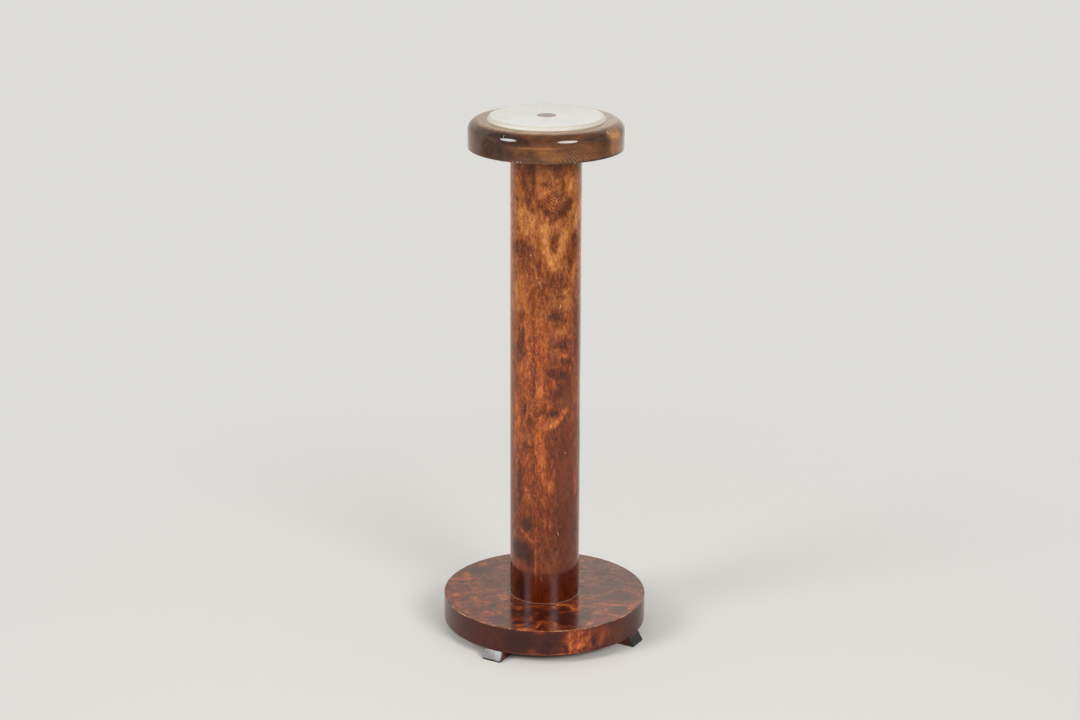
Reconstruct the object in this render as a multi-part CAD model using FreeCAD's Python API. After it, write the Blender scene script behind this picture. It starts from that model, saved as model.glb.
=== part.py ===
"""Pedestal column stand: a veneered hollow column between a round base on a cross foot and a turned
top that holds a bevelled marble slab.

Millimetres, +Z up. The origin is the middle of the footprint, on the floor. The two foot bars lie
along X and Y. A tie rod down the middle of the column clamps the base, the column and the top.
"""
import FreeCAD
import Part
import math
import os

Vector = FreeCAD.Vector
UP = Vector(0, 0, 1)

# Cross foot: two half-lapped bars whose ends slope out and down to a short upright toe
foot_height = 14.0
foot_width = 29.0
foot_past_base = 1.0
foot_end_slope_run = 7.0
foot_toe_height = 2.5
foot_lap_clearance = 0.15

# Foot screws: slotted, countersunk, driven up into the base
inner_screw_radius = 60.0
outer_screw_inset = 25.0
screw_diameter = 4.0
screw_head_diameter = 8.0
screw_length = 32.0
screw_point_length = 4.0
screw_slot_width = 1.0
screw_slot_depth = 0.9
screw_sink = 1.0
screw_shank_clearance = 0.15

# Round base: edge-glued boards under veneer
base_radius = 150.0
base_thickness = 38.5
base_board_count = 5
base_arris = 0.5
veneer_thickness = 0.9
veneer_joint_gap = 0.15
edge_veneer_joint_angle = 112.0

# Column: coopered staves under three upright veneer leaves
column_radius = 51.3
column_length = 678.5
stave_wall = 14.0
stave_count = 8
column_leaf_count = 3
column_seam_angle = -78.3

# Blocks glued into the ends of the column, each with a spigot
block_height = 50.0
spigot_radius = 25.0
spigot_length = 10.0
spigot_clearance = 0.1
spigot_end_gap = 0.5

# Turned top: edge-glued boards, rounded over, with a recess for the marble
top_radius = 111.3
top_thickness = 40.0
top_round = 14.5
top_arris = 0.8
top_board_count = 3
top_grain_angle = 66.0

# Marble slab and the plug in its middle
marble_radius = 84.0
marble_thickness = 20.0
marble_proud = 5.3
marble_bevel_width = 3.2
marble_bevel_height = 5.0
marble_recess_clearance = 0.25
plug_clearance = 0.2
plug_over_rod_gap = 1.5

# Tie rod, with a nut and a washer at each end
rod_diameter = 8.0
rod_hole_clearance = 0.5
rod_end_chamfer = 0.8
rod_end_past_nut = 2.0
nut_across_flats = 13.0
nut_height = 6.5
washer_radius = 12.0
washer_thickness = 2.0
washer_bore_clearance = 0.3
washer_pocket_clearance = 1.6
nut_socket_clearance = 0.6
foot_under_rod_gap = 2.0

# Levels, from the floor up
base_bottom = foot_height
base_top = base_bottom + base_thickness
core_bottom = base_bottom + veneer_thickness
core_top = base_top - veneer_thickness
column_top = base_top + column_length
top_rim = column_top + top_thickness
marble_top = top_rim + marble_proud
marble_bottom = marble_top - marble_thickness
rod_bottom = base_bottom + foot_under_rod_gap
lower_nut_bottom = rod_bottom + rod_end_past_nut
pocket_ceiling = lower_nut_bottom + nut_height + washer_thickness
upper_nut_bottom = marble_bottom + washer_thickness
rod_top = upper_nut_bottom + nut_height + rod_end_past_nut

# Reaches and radii that follow from the sizes above
foot_reach_top = base_radius + foot_past_base
foot_reach_floor = foot_reach_top + foot_end_slope_run
foot_screw_radii = (inner_screw_radius, base_radius - outer_screw_inset)
core_radius = base_radius - veneer_thickness
stave_outer_radius = column_radius - veneer_thickness
stave_inner_radius = stave_outer_radius - stave_wall
rod_radius = rod_diameter / 2
rod_hole_radius = rod_radius + rod_hole_clearance
socket_radius = spigot_radius + spigot_clearance
socket_depth = spigot_length + spigot_end_gap
recess_radius = marble_radius + marble_recess_clearance
screw_radius = screw_diameter / 2
washer_pocket_radius = washer_radius + washer_pocket_clearance
nut_corner_radius = nut_across_flats / 2 / math.cos(math.pi / 6)

parts = {}


def cylinder(radius, bottom, top, x=0.0, y=0.0):
    """An upright cylinder between two levels."""
    return Part.makeCylinder(radius, top - bottom, Vector(x, y, bottom), UP)


def ring(outer, inner, bottom, top):
    """An upright tube between two levels."""
    return cylinder(outer, bottom, top).cut(cylinder(inner, bottom, top))


def turned(edges):
    """The solid that a closed outline in the XZ plane makes when it is spun round Z."""
    return Part.Face(Part.Wire(edges)).revolve(Vector(0, 0, 0), UP, 360)


def outline(points):
    """Straight edges from point to point of (radius, level), and back to the first."""
    corners = [Vector(r, 0, z) for r, z in points]
    return [Part.LineSegment(a, b).toShape() for a, b in zip(corners, corners[1:] + corners[:1])]


def rounded_outline(radius, bottom, top, rounding, bottom_chamfer=0.0):
    """Half the section of a disc whose upper edge is rounded, with a chamfer below if one is given."""
    side_top, flat = top - rounding, radius - rounding
    bend = rounding * math.sqrt(0.5)
    points = [(flat, top), (0, top), (0, bottom)]
    if bottom_chamfer:
        points.append((radius - bottom_chamfer, bottom))
    points += [(radius, bottom + bottom_chamfer), (radius, side_top)]
    arc = Part.Arc(Vector(radius, 0, side_top),
                   Vector(flat + bend, 0, side_top + bend),
                   Vector(flat, 0, top)).toShape()
    return [*outline(points)[:-1], arc]


def sector(outer, inner, bottom, top, start, sweep):
    """A slice of an upright tube, from one angle round to another, in degrees."""
    slice_ = Part.makeCylinder(outer, top - bottom, Vector(0, 0, bottom), UP, sweep)
    slice_ = slice_.cut(cylinder(inner, bottom, top))
    slice_.rotate(Vector(0, 0, 0), UP, start)
    return slice_


def boards(blank, radius, count, angle, bottom, top):
    """A round blank sawn into boards of equal width that run along the given angle."""
    width = 2 * radius / count
    sawn = []
    for n in range(count):
        slab = Part.makeBox(2 * radius, width, top - bottom, Vector(-radius, n * width - radius, bottom))
        slab.rotate(Vector(0, 0, 0), UP, angle)
        sawn.append(blank.common(slab))
    return sawn


def screw_places():
    """The foot screws' places: so many along each of the four arms."""
    for arm in range(4):
        turn = math.radians(90 * arm)
        for radius in foot_screw_radii:
            yield radius * math.cos(turn), radius * math.sin(turn)


def foot_bar():
    """A bar along X with sloping ends, before its half-lap and its screw holes."""
    profile = Part.makePolygon([
        Vector(-foot_reach_floor, -foot_width / 2, 0),
        Vector(foot_reach_floor, -foot_width / 2, 0),
        Vector(foot_reach_floor, -foot_width / 2, foot_toe_height),
        Vector(foot_reach_top, -foot_width / 2, foot_height),
        Vector(-foot_reach_top, -foot_width / 2, foot_height),
        Vector(-foot_reach_floor, -foot_width / 2, foot_toe_height),
        Vector(-foot_reach_floor, -foot_width / 2, 0)])
    return Part.Face(profile).extrude(Vector(0, foot_width, 0))


def screw_hole(x, y):
    """The countersunk clearance hole that a foot screw needs in a foot bar."""
    head_depth = (screw_head_diameter - screw_diameter) / 2
    shank_top = screw_sink + head_depth
    hole = cylinder(screw_head_diameter / 2, 0, screw_sink, x, y)
    seat = Part.makeCone(screw_head_diameter / 2, screw_radius, head_depth, Vector(x, y, screw_sink), UP)
    shank = cylinder(screw_radius + screw_shank_clearance, shank_top, foot_height, x, y)
    return hole.fuse([seat, shank])


def make_cross_foot():
    half_width, lap_level = foot_width / 2, foot_height / 2
    notch = half_width + foot_lap_clearance
    lower, upper = foot_bar(), foot_bar()
    upper.rotate(Vector(0, 0, 0), UP, 90)
    lower_lap = Part.makeBox(2 * notch, foot_width, lap_level, Vector(-notch, -half_width, lap_level))
    upper_lap = Part.makeBox(foot_width, 2 * notch, lap_level, Vector(-half_width, -notch, 0))
    holes = [screw_hole(x, y) for x, y in screw_places()]
    parts["cross_foot_lower"] = lower.cut([lower_lap, *holes])
    parts["cross_foot_upper"] = upper.cut([upper_lap, *holes])


def foot_screw():
    """A slotted countersunk wood screw on the Z axis, its head down."""
    head_depth = (screw_head_diameter - screw_diameter) / 2
    tip = screw_sink + screw_length
    body = turned(outline([
        (0, screw_sink),
        (screw_head_diameter / 2, screw_sink),
        (screw_radius, screw_sink + head_depth),
        (screw_radius, tip - screw_point_length),
        (0, tip)]))
    slot = Part.makeBox(screw_head_diameter, screw_slot_width, screw_slot_depth,
                        Vector(-screw_head_diameter / 2, -screw_slot_width / 2, screw_sink))
    return body.cut(slot)


def make_foot_screws():
    screws = []
    for x, y in screw_places():
        screw = foot_screw()
        screw.translate(Vector(x, y, 0))
        screws.append(screw)
    parts["foot_screws"] = Part.makeCompound(screws)


def make_base():
    pilot_top = screw_sink + screw_length
    pilots = [cylinder(screw_radius, base_bottom, pilot_top, x, y) for x, y in screw_places()]
    rod_hole = cylinder(rod_hole_radius, base_bottom, base_top)
    nut_pocket = cylinder(washer_pocket_radius, base_bottom, pocket_ceiling)
    socket = cylinder(socket_radius, base_top - socket_depth, base_top)
    cuts = [*pilots, rod_hole, nut_pocket, socket]

    core = cylinder(core_radius, core_bottom, core_top).cut(cuts)
    sawn = boards(core, core_radius, base_board_count, 0, core_bottom, core_top)
    for n, board in enumerate(sawn, 1):
        parts[f"base_board_{n}"] = board

    parts["base_bottom_veneer"] = cylinder(base_radius, base_bottom, core_bottom).cut(cuts)
    arris = min(base_arris, 0.8 * veneer_thickness)
    top_face = turned(rounded_outline(base_radius, core_top, base_top, arris))
    parts["base_top_veneer"] = top_face.cut(cuts)

    gap = math.degrees(veneer_joint_gap / base_radius)
    strip_start = edge_veneer_joint_angle + gap / 2
    parts["base_edge_veneer"] = sector(
        base_radius, core_radius, core_bottom, core_top, strip_start, 360 - gap)


def make_column():
    stave = 360 / stave_count
    for n in range(stave_count):
        parts[f"column_stave_{n + 1}"] = sector(
            stave_outer_radius, stave_inner_radius, base_top, column_top, n * stave, stave)
    leaf = 360 / column_leaf_count
    gap = math.degrees(veneer_joint_gap / column_radius)
    for n in range(column_leaf_count):
        leaf_edge = column_seam_angle + n * leaf + gap / 2
        parts[f"column_veneer_{n + 1}"] = sector(
            column_radius, stave_outer_radius, base_top, column_top, leaf_edge, leaf - gap)


def make_blocks():
    rod_hole = cylinder(rod_hole_radius, base_bottom, top_rim)
    lower = cylinder(stave_inner_radius, base_top, base_top + block_height)
    lower_spigot = cylinder(spigot_radius, base_top - spigot_length, base_top)
    parts["column_bottom_block"] = lower.fuse(lower_spigot).removeSplitter().cut(rod_hole)
    upper = cylinder(stave_inner_radius, column_top - block_height, column_top)
    upper_spigot = cylinder(spigot_radius, column_top, column_top + spigot_length)
    parts["column_top_block"] = upper.fuse(upper_spigot).removeSplitter().cut(rod_hole)


def make_top():
    blank = turned(rounded_outline(top_radius, column_top, top_rim, top_round, top_arris))
    recess = cylinder(recess_radius, marble_bottom, top_rim)
    rod_hole = cylinder(rod_hole_radius, column_top, marble_bottom)
    socket = cylinder(socket_radius, column_top, column_top + socket_depth)
    blank = blank.cut([recess, rod_hole, socket])
    sawn = boards(blank, top_radius, top_board_count, top_grain_angle, column_top, top_rim)
    for n, board in enumerate(sawn, 1):
        parts[f"top_board_{n}"] = board


def make_marble():
    parts["marble_slab"] = turned(outline([
        (washer_pocket_radius, marble_bottom),
        (marble_radius, marble_bottom),
        (marble_radius, marble_top - marble_bevel_height),
        (marble_radius - marble_bevel_width, marble_top),
        (washer_pocket_radius, marble_top)]))
    plug = cylinder(washer_pocket_radius - plug_clearance, upper_nut_bottom, marble_top)
    nut_socket_radius = nut_corner_radius + nut_socket_clearance
    nut_socket = cylinder(nut_socket_radius, upper_nut_bottom, rod_top + plug_over_rod_gap)
    parts["marble_plug"] = plug.cut(nut_socket)


def nut(bottom):
    """A hexagon nut with both faces chamfered to a circle."""
    top = bottom + nut_height
    corners = [Vector(nut_corner_radius * math.cos(math.radians(60 * n)),
                      nut_corner_radius * math.sin(math.radians(60 * n)), bottom) for n in range(7)]
    hexagon = Part.Face(Part.makePolygon(corners)).extrude(Vector(0, 0, nut_height))
    flat = nut_across_flats / 2
    drop = (nut_corner_radius - flat) * math.tan(math.pi / 6)
    bounds = turned(outline([
        (0, bottom), (flat, bottom), (nut_corner_radius, bottom + drop),
        (nut_corner_radius, top - drop), (flat, top), (0, top)]))
    return hexagon.common(bounds).cut(cylinder(rod_radius, bottom, top))


def make_tie_rod():
    parts["tie_rod"] = turned(outline([
        (0, rod_bottom),
        (rod_radius - rod_end_chamfer, rod_bottom),
        (rod_radius, rod_bottom + rod_end_chamfer),
        (rod_radius, rod_top - rod_end_chamfer),
        (rod_radius - rod_end_chamfer, rod_top),
        (0, rod_top)]))
    parts["tie_rod_nut_lower"] = nut(lower_nut_bottom)
    parts["tie_rod_nut_upper"] = nut(upper_nut_bottom)
    washer_bore = rod_radius + washer_bore_clearance
    parts["washer_lower"] = ring(washer_radius, washer_bore, lower_nut_bottom + nut_height, pocket_ceiling)
    parts["washer_upper"] = ring(washer_radius, washer_bore, marble_bottom, upper_nut_bottom)


def export():
    os.makedirs("parts", exist_ok=True)
    for name, shape in parts.items():
        shape.exportStep(f"parts/{name}.step")


make_cross_foot()
make_foot_screws()
make_base()
make_column()
make_blocks()
make_top()
make_marble()
make_tie_rod()
export()
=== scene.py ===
import bpy
import math
from mathutils import Matrix, Vector


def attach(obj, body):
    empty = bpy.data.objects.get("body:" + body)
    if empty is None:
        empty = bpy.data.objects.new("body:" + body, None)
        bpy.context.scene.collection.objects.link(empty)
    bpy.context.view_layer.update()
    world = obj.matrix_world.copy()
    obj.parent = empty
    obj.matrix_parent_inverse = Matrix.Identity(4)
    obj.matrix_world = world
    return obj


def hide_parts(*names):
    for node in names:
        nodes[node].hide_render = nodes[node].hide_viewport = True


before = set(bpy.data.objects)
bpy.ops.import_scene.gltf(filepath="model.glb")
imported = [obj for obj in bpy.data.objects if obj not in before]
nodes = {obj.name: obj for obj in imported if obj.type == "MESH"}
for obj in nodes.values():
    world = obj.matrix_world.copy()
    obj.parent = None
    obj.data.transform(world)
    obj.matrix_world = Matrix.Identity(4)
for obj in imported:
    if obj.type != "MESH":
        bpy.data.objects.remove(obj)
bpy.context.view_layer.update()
scene = bpy.context.scene
print("frame loaded:", len(nodes), "pieces")

view = {
    "turn": 29.2,             # degrees round the stand from -Y, where the photograph was taken
    "away": 3.234,            # metres from the stand's axis, along the floor
    "aside": -0.0079,
    "height": 1.453,
    "pitch": 17.8,            # degrees down
    "roll": 0.197,
    "lens": 77.9,             # mm
    "sensor": 36,             # mm
    "farthest": 50,           # metres
}
viewTurn = Matrix.Rotation(math.radians(view["turn"]), 4, "Z")
stack = {                     # mm, from the floor up, which the heights below are worked out from
    "foot": 14, "base": 38.5, "column": 678.5, "top": 40, "marbleProud": 5.3, "marble": 20,
}


def inView(right, away, up):  # a place as the photograph sees it: right, away from the camera, up
    return viewTurn @ Vector((right, away, up))


def makeCamera():
    cameraData = bpy.data.cameras.new("camera")
    cameraData.lens = view["lens"]
    cameraData.sensor_width = view["sensor"]
    cameraData.clip_end = view["farthest"]
    camera = bpy.data.objects.new("camera", cameraData)
    scene.collection.objects.link(camera)
    stand = Matrix.Translation(inView(view["aside"], -view["away"], view["height"]))
    tilt = Matrix.Rotation(math.radians(90 - view["pitch"]), 4, "X")
    roll = Matrix.Rotation(math.radians(view["roll"]), 4, "Z")
    camera.matrix_world = stand @ viewTurn @ tilt @ roll
    scene.camera = camera


makeCamera()
print("camera set")


def paint(red, green, blue):  # a colour as it is seen, 0 to 255, as the linear numbers a shader takes
    seen = (red / 255, green / 255, blue / 255)
    return tuple(part / 12.92 if part < 0.04 else ((part + 0.055) / 1.055) ** 2.4 for part in seen)


class Wire:                   # one socket of a material, so that its sums read as sums
    def __init__(self, tree, socket=None):
        self.tree, self.socket = tree, socket

    def node(self, kind, settings=None, inputs=None, output=0):
        made = self.tree.nodes.new(kind)
        for name, value in (settings or {}).items():
            if name != "stops":
                setattr(made, name, value)
                continue
            stops = made.color_ramp.elements
            while len(stops) < len(value):
                stops.new(0.5)
            for stop, (place, colour) in zip(stops, value):
                stop.position = place
                stop.color = (*colour, 1)
        for name, value in (inputs or {}).items():
            if isinstance(value, Wire):
                self.tree.links.new(value.socket, made.inputs[name])
            elif isinstance(value, tuple) and made.inputs[name].type == "RGBA":
                made.inputs[name].default_value = (*value, 1)
            else:
                made.inputs[name].default_value = value
        if isinstance(output, tuple):
            return [Wire(self.tree, made.outputs[which]) for which in output]
        return Wire(self.tree, made.outputs[output]) if len(made.outputs) else None

    def maths(self, how, *others):
        return self.node("ShaderNodeMath", {"operation": how}, dict(enumerate([self, *others])))

    def __add__(self, other):
        return self.maths("ADD", other)

    __radd__ = __add__

    def __mul__(self, other):
        return self.maths("MULTIPLY", other)

    __rmul__ = __mul__

    def __sub__(self, other):
        return self.maths("SUBTRACT", other)

    def __rsub__(self, other):
        return self.node("ShaderNodeMath", {"operation": "SUBTRACT"}, {0: other, 1: self})

    def __truediv__(self, other):
        return self.maths("DIVIDE", other)

    def __abs__(self):
        return self.maths("ABSOLUTE")

    def clipped(self):        # never below 0 or above 1
        return self.node("ShaderNodeMath", {"operation": "ADD", "use_clamp": True}, {0: self, 1: 0.0})

    def wave(self, pitch):
        return (self * (2 * math.pi / pitch)).maths("SINE")

    def smooth(self, start, end, low=0.0, high=1.0):   # low before start, high after end
        return self.node("ShaderNodeMapRange", {"interpolation_type": "SMOOTHSTEP"},
                         {"Value": self, "From Min": start, "From Max": end, "To Min": low, "To Max": high})

    def ramp(self, stops):
        return self.node("ShaderNodeValToRGB", {"stops": stops}, {0: self})

    def between(self, low, high):                      # this mask mixes two colours
        return self.node("ShaderNodeMix", {"data_type": "RGBA"}, {0: self, 6: low, 7: high}, output=2)

    def tinted(self, colour, factor=1.0):              # this colour multiplied by another
        return self.node("ShaderNodeMix", {"data_type": "RGBA", "blend_type": "MULTIPLY"},
                         {0: factor, 6: self, 7: colour}, output=2)

    def vector(self, how, other=None, output=0):
        inputs = {0: self} if other is None else {0: self, 1: other}
        return self.node("ShaderNodeVectorMath", {"operation": how}, inputs, output)

    def moved(self, by):
        return self.vector("ADD", by)

    def stretched(self, x, y, z):
        return self.vector("MULTIPLY", (x, y, z))

    def length(self):
        return self.vector("LENGTH", output="Value")

    def split(self):
        return self.node("ShaderNodeSeparateXYZ", inputs={0: self}, output=(0, 1, 2))

    def joined(self, second, third=0.0):
        return self.node("ShaderNodeCombineXYZ", inputs={0: self, 1: second, 2: third})

    def noise(self, scale, detail=2.0, rough=0.5, swirl=0.0, output=0):
        return self.node("ShaderNodeTexNoise", {},
                         {"Vector": self, "Scale": scale, "Detail": detail, "Roughness": rough,
                          "Distortion": swirl}, output)

    def push(self, scale, amounts, detail=2.0):        # how far noise moves each place
        towards = self.noise(scale, detail, output="Color").vector("SUBTRACT", (0.5, 0.5, 0.5))
        return towards.stretched(*amounts)


def newMaterial(name):
    material = bpy.data.materials.new(name)
    material.use_nodes = True
    material.node_tree.nodes.clear()
    return material, Wire(material.node_tree)


def standPlace(wire):         # millimetres, turned to face the photograph's camera
    place = wire.node("ShaderNodeTexCoord", output="Object")
    return wire.node("ShaderNodeMapping", {},
                     {"Vector": place, "Rotation": (0, 0, -math.radians(view["turn"])),
                      "Scale": (1000, 1000, 1000)})


def unrolled(place, radius):  # mm round a turned face from the camera's side, and mm up
    x, y, z = place.split()
    return x.maths("ARCTAN2", -1 * y) * radius, z


def fromAxis(place):
    x, y = place.split()[:2]
    return x.joined(y).length()


def clouds(flat, spots):      # soft spots: across, up, half width, half height, lean in degrees, strength
    total = None
    for across, up, halfWidth, halfHeight, lean, strength in spots:
        turn = (0, 0, math.radians(lean))
        spot = flat.node("ShaderNodeMapping", {"vector_type": "TEXTURE"},
                         {"Vector": flat, "Location": (across, up, 0), "Rotation": turn,
                          "Scale": (halfWidth, halfHeight, 1)})
        cloud = spot.length().smooth(1.25, 0.5, 0.0, strength)
        total = cloud if total is None else total + cloud
    return total


hues = {                      # tints that the colour of a wood drifts between
    "green": (0.97, 1.1, 1.04), "red": (1.03, 0.9, 0.96),
    "yellow": (1.0, 1.0, 0.72), "blue": (1.0, 1.0, 1.24),
    "apart": (50.0, 20.0, 90.0),                       # mm between the two patterns of drift
}


def varied(colour, place, scale):
    first = place.noise(scale, 4, 0.65).smooth(0.3, 0.7)
    second = place.moved(hues["apart"]).noise(scale * 0.8, 4, 0.65).smooth(0.3, 0.7)
    reddened = colour.tinted(first.between(hues["green"], hues["red"]))
    return reddened.tinted(second.between(hues["yellow"], hues["blue"]))


def finishSurface(wire, bump=None, bumpDepth=0.0004, bumpStrength=0.3, **sockets):
    sockets = {name.replace("_", " "): value for name, value in sockets.items()}
    if bump is not None:
        sockets["Normal"] = wire.node("ShaderNodeBump", {},
                                      {"Strength": bumpStrength, "Distance": bumpDepth, "Height": bump})
    shader = wire.node("ShaderNodeBsdfPrincipled", {}, sockets)
    wire.node("ShaderNodeOutputMaterial", {}, {"Surface": shader})


def dress(material, *names):  # gives CAD nodes their finish
    for name in names:
        nodes[name].data.materials.clear()
        nodes[name].data.materials.append(material)


studio = {                    # metres, degrees and watts
    "floorSize": 16, "floorRough": 0.75,
    "floorColour": paint(227, 224, 218),
    "shadedFarFloor": paint(151, 148, 142), "shadedFarReach": (1.1, 2.3),        # painted shade on the far floor, where no view looks
    # a painted shadow: the floor is painted dark under the base
    "shadowUnderBase": paint(58, 46, 43), "shadowUnderReach": (0.13, 0.114),
    "farFloor": paint(221, 220, 217), "fadeNear": (0.13, 0.25), "fadeFar": (0.3, 1.3),
    "wallLeft": paint(209, 204, 196), "wallRight": paint(247, 244, 237), "wallFar": paint(207, 203, 196),
    "leftToRight": (-0.035, 0.015), "rightToFar": (0.05, 0.14),        # in widths of the wall
    "wallAway": 0.83, "wallMiddle": 1.3, "wallWide": 8, "wallTall": 2.6, "wallRough": 0.8,
    "worldLow": 0.66,         # brightness of the room round the stand, near the floor
    "worldHigh": 0.42,        # overhead
    "worldFront": 0.45,       # and how much of that is left on the camera's side
    "worldRise": (-0.1, 0.7), "worldTurn": (0.1, 0.9),
    "roomColour": (1.0, 0.99, 0.965),
    "behindCamera": paint(226, 225, 223),
    "leftTurn": -60, "leftRise": 25, "leftWidth": 2.7, "leftPower": 240,
    "rightTurn": 32.5, "rightRise": 25, "rightWidth": 3.1, "rightPower": 286,
    "lampTall": 2.7, "lampAway": 6.2, "lampLift": 0.7,
}


def makeFloor():
    material, wire = newMaterial("floor")
    reach = wire.node("ShaderNodeTexCoord", output="Object").length()
    seen = wire.node("ShaderNodeLightPath", output="Is Camera Ray")
    far = (reach.smooth(*studio["fadeNear"]) * 0.5 + reach.smooth(*studio["fadeFar"]) * 0.5) * seen
    # painted shade: the far floor is painted darker
    colour = reach.smooth(*studio["shadedFarReach"]).between(studio["floorColour"], studio["shadedFarFloor"])
    # painted shadow under the base
    colour = reach.smooth(*studio["shadowUnderReach"]).between(colour, studio["shadowUnderBase"])
    near = wire.node("ShaderNodeBsdfPrincipled", {},
                     {"Base Color": colour, "Roughness": studio["floorRough"]})
    pale = wire.node("ShaderNodeEmission", {}, {"Color": studio["farFloor"], "Strength": 1.0})
    both = wire.node("ShaderNodeMixShader", {}, {0: far, 1: near, 2: pale})
    wire.node("ShaderNodeOutputMaterial", {}, {"Surface": both})
    bpy.ops.mesh.primitive_plane_add(size=studio["floorSize"])
    floor = bpy.context.object
    floor.name = "floor"
    floor.data.materials.append(material)


def makeWall():               # a card that only reflections see, so no view is blocked
    material, wire = newMaterial("wall")
    right = wire.node("ShaderNodeTexCoord", output="Object").split()[0]
    colour = right.smooth(*studio["leftToRight"]).between(studio["wallLeft"], studio["wallRight"])
    colour = right.smooth(*studio["rightToFar"]).between(colour, studio["wallFar"])
    finishSurface(wire, Base_Color=colour, Roughness=studio["wallRough"])
    bpy.ops.mesh.primitive_plane_add(size=1)
    wall = bpy.context.object
    wall.name = "wall"
    place = Matrix.Translation(inView(0, studio["wallAway"], studio["wallMiddle"]))
    upright = Matrix.Rotation(math.radians(90), 4, "X")
    size = Matrix.Diagonal((studio["wallWide"], studio["wallTall"], 1, 1))
    wall.matrix_world = place @ viewTurn @ upright @ size
    wall.data.materials.append(material)
    wall.visible_camera = False
    wall.visible_shadow = False
    wall.visible_diffuse = False


def makeLamp(side):
    turn, rise = math.radians(studio[side + "Turn"]), math.radians(studio[side + "Rise"])
    lampData = bpy.data.lights.new(side + "Lamp", "AREA")
    lampData.shape = "ELLIPSE"
    lampData.size = studio[side + "Width"]
    lampData.size_y = studio["lampTall"]
    lampData.energy = studio[side + "Power"]
    lamp = bpy.data.objects.new(side + "Lamp", lampData)
    scene.collection.objects.link(lamp)
    towards = inView(math.sin(turn) * math.cos(rise), -math.cos(turn) * math.cos(rise), math.sin(rise))
    lamp.location = towards * studio["lampAway"] + Vector((0, 0, studio["lampLift"]))
    lamp.rotation_mode = "QUATERNION"
    lamp.rotation_quaternion = towards.to_track_quat("Z", "Y")


def makeWorld():              # a soft room for the light, and one pale colour for the camera
    world = bpy.data.worlds.new("world")
    scene.world = world
    world.use_nodes = True
    world.node_tree.nodes.clear()
    wire = Wire(world.node_tree)
    east, north, rise = wire.node("ShaderNodeTexCoord", output="Generated").split()
    front = inView(0, -1, 0)
    glow = rise.smooth(*studio["worldRise"], studio["worldLow"], studio["worldHigh"])
    towards = east * front.x + north * front.y
    glow = glow * towards.smooth(*studio["worldTurn"], 1.0, studio["worldFront"])
    room = wire.node("ShaderNodeBackground", {}, {"Color": studio["roomColour"], "Strength": glow})
    backdrop = wire.node("ShaderNodeBackground", {}, {"Color": studio["behindCamera"], "Strength": 1})
    seen = wire.node("ShaderNodeLightPath", output="Is Camera Ray")
    both = wire.node("ShaderNodeMixShader", {}, {0: seen, 1: room, 2: backdrop})
    wire.node("ShaderNodeOutputWorld", {}, {"Surface": both})


makeFloor()
makeWall()
makeLamp("left")
makeLamp("right")
makeWorld()
scene.view_settings.view_transform = "Standard"
print("studio set")

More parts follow.
